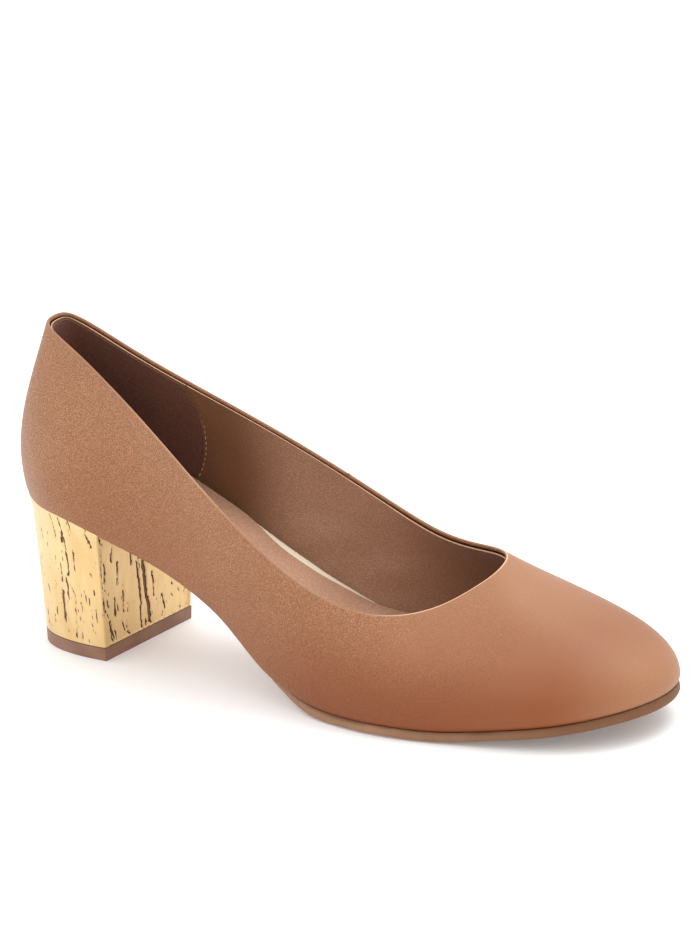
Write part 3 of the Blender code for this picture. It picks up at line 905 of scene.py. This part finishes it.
breast_edges = []
for edge in heel_shape.edges:
    walls = [face for face in edge.link_faces if abs(face.normal.z) < WALL_FACING]
    runs_across = abs(edge.verts[1].co.z - edge.verts[0].co.z) < UPRIGHT * edge.calc_length()
    if walls and runs_across and all(face.normal.x > FLAT_BREAST for face in walls):
        breast_edges.append(edge)
bmesh.ops.subdivide_edges(heel_shape, edges=breast_edges, cuts=BREAST_CUTS, use_grid_fill=True)
heel = add_piece("heel_cork", heel_shape, [])
heel_mesh = subdivided(heel, 3)
print("strips across the breast:", BREAST_CUTS + 1)

# %% [markdown]
# ### Where a point lies on the cork
# The sheet of cork is wrapped round the heel and narrows with it. Each point gets two numbers: how far up it
# lies, as a share of the breast's height, and how far round, in millimetres from the outer front corner.

# %% The cork's own coordinates
TOUCH = 0.2 * MM
GIRTH = 125.0  # mm round the sides and back, at the middle of the heel
BREAST_WIDTH = 50.0  # mm

heel_points = points_of(heel_mesh)
heel_normals = normals_of(heel_mesh)
solid_points = points_of(nodes["heel"].data)
floor_points = solid_points[solid_points[:, 2] < heel_low.z + TOUCH]
front_low = floor_points[floor_points[:, 0] > floor_points[:, 0].max() - TOUCH]
front_high = solid_points[solid_points[:, 0] > heel_high.x - TOUCH]
corners = [front[np.argmin(front[:, 1] * side)] for front in (front_low, front_high) for side in (1.0, -1.0)]
outer_low, inner_low, outer_high, inner_high = corners
rise = (heel_points[:, 2:] - outer_low[2]) / (outer_high[2] - outer_low[2])
outer = outer_low + (outer_high - outer_low) * rise
inner = inner_low + (inner_high - inner_low) * rise
on_breast = heel_normals[:, 0] > BREAST_FACING
across_breast = (heel_points[:, 1] - outer[:, 1]) / (inner[:, 1] - outer[:, 1]) * BREAST_WIDTH
turned = np.arctan2(heel_points[:, 1] - (outer[:, 1] + inner[:, 1]) / 2.0, outer[:, 0] - heel_points[:, 0])
round_sides = (turned / math.pi + 0.5) * GIRTH
rise = rise[:, 0]
print("heel points:", len(heel_points), "on the breast:", int(on_breast.sum()))

# %% [markdown]
# ### Slits
# The slits that stand out are listed one by one, and short ones are strewn between them. A slit wanders and
# breaks off as cork does, and its depth is real: points inside it are pushed into the block.

# %% Slits down the cork
SLIT_DEPTH = 0.35 * MM
SLIT_REACH = 2.0  # mm: points further from a slit don't feel it
SLIT_ENDS = 0.6  # share of its length from its middle, just past its ends
SLIT_TAPER = 0.25  # mm of width for each mm from the slit's end
SLIT_BANK = (-0.15, 0.25)  # mm inside a slit's edge where its bank starts and ends
WIDENED = 0.6  # half the width, and a little for what the torn edge takes back
# Noises along a slit: mm, step from slit to slit, steps for each mm of height, and seed
WANDER = ((0.5, 7.3, 0.15, 0.5), (0.3, 3.1, 0.70, 4.5))
BROKEN = ((0.30, 5.7, 0.55, 9.5),)  # narrows and widens a slit, enough to break a thin one
FOLD_EDGE = (1.30 * MM, 1.82 * MM)  # end of the foil that is turned from the sides on to the breast
FOLD_STEP = 0.45 * MM
SEEN_SIDE = 50.0  # mm round from the outer corner, where the listed slits stand
INNER_STRETCH = 1.2  # the inner side has the outer one's slits, upside down and wider apart
SIDE_MARGIN = 4.0
BREAST_MARGIN = 3.0
# Short slits: share of the height where they start, their share of it, lean and width in mm
SHORT_START = (0.0, 1.05)
SHORT_LENGTH = (0.03, 0.14)
SHORT_LEAN = (-0.4, 0.9)
SHORT_WIDTH = (0.25, 0.55)
random_slits = random.Random(11)

# Slits that stand out: mm from the outer corner at the lower and upper end, share of the height at both,
# and width in mm
SIDE_SLITS = (
    (38.3, 38.9, 1.06, 1.13, 0.4), (38.1, 39.4, 0.85, 0.94, 0.4), (42.4, 45.5, 0.53, 0.65, 0.4),
    (40.0, 41.9, 0.49, 0.54, 0.4), (31.8, 33.4, 0.91, 0.96, 0.6), (26.1, 27.4, 0.91, 1.12, 0.5),
    (19.9, 22.0, 0.85, 1.10, 0.7), (19.9, 19.9, 0.59, 0.86, 0.7), (14.6, 15.9, 1.00, 1.09, 0.4),
    (15.6, 16.0, 0.67, 0.87, 0.6), (25.1, 25.2, 0.53, 0.64, 0.5), (25.9, 25.4, 0.16, 0.46, 1.2),
    (21.6, 22.2, 0.37, 0.58, 0.5), (17.5, 19.3, 0.42, 0.52, 0.5), (19.1, 17.7, 0.03, 0.41, 0.5),
    (5.1, 5.7, 0.62, 0.68, 0.6), (4.2, 4.8, 0.46, 0.52, 0.6), (36.1, 36.9, 0.37, 0.45, 0.5),
    (30.2, 30.7, 0.39, 0.47, 0.5), (39.3, 40.0, 0.02, 0.20, 0.4), (7.4, 8.5, 0.18, 0.23, 0.5),
    (4.5, 7.1, 0.93, 1.01, 1.0), (4.2, 5.0, 0.90, 0.97, 0.7),
)
BREAST_SLITS = (
    (3.1, 3.0, 0.56, 0.75, 0.7), (2.7, 2.3, 0.46, 0.52, 0.5), (7.0, 7.2, 0.72, 0.86, 0.6),
    (9.4, 9.6, 0.49, 0.71, 0.5), (7.4, 7.1, 0.23, 0.40, 0.8), (12.2, 12.2, 0.32, 0.45, 0.4),
    (20.3, 19.5, 0.47, 0.64, 0.8), (21.5, 20.8, 0.22, 0.47, 0.7), (21.3, 20.9, 0.00, 0.23, 0.6),
    (24.6, 23.0, 0.27, 0.66, 1.4), (26.1, 24.6, 0.02, 0.28, 1.4), (28.7, 28.0, 0.25, 0.48, 0.5),
    (34.6, 33.0, 0.08, 0.23, 0.4), (39.3, 38.7, 0.26, 0.30, 0.5), (39.3, 38.1, 0.16, 0.20, 0.5),
    (42.9, 42.4, 0.18, 0.23, 0.4), (43.7, 43.4, 0.01, 0.07, 0.4), (48.4, 46.7, 0.01, 0.05, 0.4),
    (1.6, 1.0, 0.32, 0.45, 0.6), (3.6, 2.1, 0.24, 0.33, 0.7), (4.9, 3.8, 0.02, 0.22, 0.8),
    (6.2, 4.8, 0.02, 0.19, 0.6), (7.4, 6.4, 0.01, 0.13, 0.6), (11.7, 10.4, 0.06, 0.17, 0.6),
    (13.0, 12.8, 0.07, 0.15, 0.5), (14.4, 13.4, 0.01, 0.05, 0.8), (2.6, 1.2, 0.90, 0.98, 0.8),
    (4.0, 3.6, 0.33, 0.42, 0.5), (17.0, 16.4, 0.62, 0.84, 0.6), (30.0, 29.2, 0.60, 0.92, 0.8),
    # the last slit of the next row runs down the outer corner at the foil's fold: its dark line is painted
    # shade of that fold
    (37.0, 36.0, 0.40, 0.72, 0.6), (43.5, 42.6, 0.50, 0.80, 0.7), (1.5, 1.4, 0.25, 0.97, 0.5),
)


def short_slits(count, low, high):
    rows = []
    for _ in range(count):
        place = random_slits.uniform(low, high)
        start = random_slits.uniform(*SHORT_START)
        length = random_slits.uniform(*SHORT_LENGTH)
        lean = random_slits.uniform(*SHORT_LEAN)
        rows.append((place, place + lean, start, start + length, random_slits.uniform(*SHORT_WIDTH)))
    return rows


def ripple(waves, number, height):
    """Sum of noises for a numbered slit at a height, in mm."""
    return sum(size * noise.noise((number * step, height * pace, seed)) for size, step, pace, seed in waves)


side_rows = list(SIDE_SLITS)
side_rows += short_slits(30, SIDE_MARGIN, SEEN_SIDE)
side_rows += short_slits(46, SEEN_SIDE, GIRTH - SIDE_MARGIN)
for low_place, high_place, low, high, width in SIDE_SLITS[1:-2]:
    side_rows.append((GIRTH - high_place * INNER_STRETCH, GIRTH - low_place * INNER_STRETCH,
                      1.0 - high, 1.0 - low, width))
breast_rows = list(BREAST_SLITS) + short_slits(26, BREAST_MARGIN, BREAST_WIDTH - BREAST_MARGIN)

opened = np.full(len(heel_points), -1.0)  # mm inside a slit's edge, below zero outside it
height_mm = heel_points[:, 2] / MM
breast_height = (outer_high[2] - outer_low[2]) / MM
for rows, chosen, place_mm in ((side_rows, ~on_breast, round_sides), (breast_rows, on_breast, across_breast)):
    for number, (low_place, high_place, low, high, width) in enumerate(rows):
        share = (rise - low) / (high - low)
        from_middle = place_mm - low_place - (high_place - low_place) * np.clip(share, 0.0, 1.0)
        near = chosen & (np.abs(from_middle) < SLIT_REACH) & (np.abs(share - 0.5) < SLIT_ENDS)
        to_end = np.minimum(share, 1.0 - share) * (high - low) * breast_height
        for index in np.flatnonzero(near):
            from_slit = abs(from_middle[index] - ripple(WANDER, number, height_mm[index]))
            half_width = width * WIDENED + ripple(BROKEN, number, height_mm[index])
            inside_by = min(half_width - from_slit, to_end[index] * SLIT_TAPER)
            opened[index] = max(opened[index], inside_by)
sunk = smooth_step(*SLIT_BANK, opened)
heel_points -= heel_normals * (sunk * SLIT_DEPTH)[:, None]
from_corner = np.minimum(heel_points[:, 1] - outer[:, 1], inner[:, 1] - heel_points[:, 1])
heel_points[:, 0] -= np.where(on_breast, smooth_step(*FOLD_EDGE, from_corner) * FOLD_STEP, 0.0)
put_points(heel_mesh, heel_points)
# 0.5 at a slit's edge, and 0.5 more for each mm inside it
put_attribute(heel_mesh, "slit", np.clip(0.5 + opened / 2.0, 0.0, 1.0))
print("slits:", len(side_rows) + len(breast_rows))

# %% [markdown]
# ### Cup of the heel
# The top of a heel is a shallow cup, and its thin lip hugs the round edge of the upper, so no gap shows. Each
# point of the lip is drawn out and up to the nearest place on the leather, and the wall below follows softly.

# %% Lip of the heel's cup
LIP_OUT = 1.2 * MM
LIP_UP = 1.6 * MM
LIP_GAP = 0.12 * MM
LIP_REACH = 4.5 * MM  # how far down the wall the flare starts
CUP_FACING = 0.9  # points that look up more than this lie inside the cup

lip_moves = []
for point, outward in seat_points:
    spot, normal, *_ = leather_surface.find_nearest(point + outward * LIP_OUT + Vector((0.0, 0.0, LIP_UP)))
    lip_moves.append(spot + normal * LIP_GAP - point)
seat = search_tree([point for point, _ in seat_points])
nearest = [seat.find(point)[1:] for point in heel_points]
lip_share = smooth_step(LIP_REACH, 0.0, np.array([reach for _, reach in nearest]))
lip_share[heel_normals[:, 2] > CUP_FACING] = 0.0
put_points(heel_mesh, heel_points + np.array([lip_moves[index] for index, _ in nearest]) * lip_share[:, None])
print("lip moves up to", round(max(move.length for move in lip_moves) / MM, 2), "mm")

# %% [markdown]
# ### Cork foil
# The foil is a soft gold with faint streaks, and bare cork shows in the slits. The mesh knows only roughly
# where a slit's edge lies, so the finish adds a fine noise to that distance and cuts it off sharply, as
# torn cork is. The widest slits are paler in the middle.

# %% Cork foil finish
# Streaks: how many per metre across and up, and their detail
TORN_STREAKS = (1700.0, 600.0, 3.0)
GOLD_STREAKS = (160.0, 40.0, 5.0)
FLECK_STREAKS = (1300.0, 320.0, 2.0)
CRINKLE = (420.0, 120.0, 5.0)
TORN_SHARE = 0.45
# Values where a colour starts and where it is full
SLIT_CUT = (0.49, 0.52)
SLIT_MIDDLE = (0.56, 0.70)
FLECK_CUT = (0.70, 0.73)

FOIL_METAL = 0.6
FOIL_ROUGHNESS = 0.42
CORK_ROUGHER = 0.4

foil = Finish("cork_foil")
torn = foil.math("SUBTRACT", foil.streaks(*TORN_STREAKS), 0.5)
torn_edge = foil.math("MULTIPLY_ADD", torn, TORN_SHARE, foil.point_value("slit"))
slit_mask = foil.spread(torn_edge, *SLIT_CUT)
streaks = foil.spread(foil.streaks(*GOLD_STREAKS), *NOISE_SPREAD)
gold = foil.mix(streaks, srgb(219, 185, 128), srgb(233, 202, 148))
flecks = foil.spread(foil.streaks(*FLECK_STREAKS), *FLECK_CUT)
worn = foil.mix(flecks, gold, srgb(124, 84, 48))
slit_middle = foil.spread(torn_edge, *SLIT_MIDDLE)
cork = foil.mix(slit_middle, srgb(78, 44, 25), srgb(122, 82, 66))
split = foil.mix(slit_mask, worn, cork)
metal = foil.math("MULTIPLY_ADD", slit_mask, -FOIL_METAL, FOIL_METAL)
rough = foil.math("MULTIPLY_ADD", slit_mask, CORK_ROUGHER, FOIL_ROUGHNESS)
foil.set({"Base Color": split, "Metallic": metal, "Roughness": rough})
foil.bump(foil.streaks(*CRINKLE), strength=0.6)
heel_mesh.materials.append(foil.material)
show(heel, "heel_foil", "heel")

# %% [markdown]
# ## Floor and light
# The shoe stands on a pale table in a white studio. The light is broad and soft: it comes from above and a
# little behind, and a weak lamp in front keeps the near side from going dark. The table glows faintly, so
# that only a soft shadow is left below the arch.

# %% Floor and light
FLOOR_SIZE = 6.0
FLOOR_GLOW = 0.15  # a lit table keeps the shadow under the shoe light
WHITE = (1.0, 1.0, 1.0, 1.0)
SKY_LEVEL = 0.92
SKY_CONTRAST = 0.55
BRIGHT_SIDE = (0.0, 0.35, 0.94)  # the studio is brightest overhead and a little behind the shoe

floor_shape = bmesh.new()
bmesh.ops.create_grid(floor_shape, x_segments=1, y_segments=1, size=FLOOR_SIZE)
table = Finish("pale_floor")
table.set({"Base Color": srgb(245, 245, 245), "Roughness": 0.6,
           "Emission Color": WHITE, "Emission Strength": FLOOR_GLOW})
floor = add_piece("floor", floor_shape, [table])

world = scene.world or bpy.data.worlds.new("studio")
scene.world = world
world.use_nodes = True
sky = Nodes(world.node_tree)
direction = sky.add("TexCoord")["Generated"]
towards_top = sky.add("VectorMath", {0: direction, 1: BRIGHT_SIDE}, operation="DOT_PRODUCT")["Value"]
glow = sky.math("MULTIPLY_ADD", towards_top, SKY_CONTRAST, SKY_LEVEL)
sky.join(world.node_tree.nodes["Background"], {"Color": WHITE, "Strength": glow})


def add_light(name, place, aim, size, power):
    light = bpy.data.lights.new(name, "AREA")
    light.shape = "DISK"
    light.size = size
    light.energy = power
    holder = bpy.data.objects.new(name, light)
    holder.location = place
    holder.rotation_euler = (Vector(aim) - Vector(place)).to_track_quat("-Z", "Y").to_euler()
    scene.collection.objects.link(holder)


add_light("key", place=(0.35, 0.45, 1.3), aim=(0.0, 0.0, 0.03), size=0.9, power=6.2)
add_light("fill", place=(0.0, -1.1, 0.9), aim=(-0.02, 0.0, 0.05), size=1.0, power=2.0)
scene.view_settings.view_transform = "Standard"
print("lights:", [thing.name for thing in bpy.data.lights])
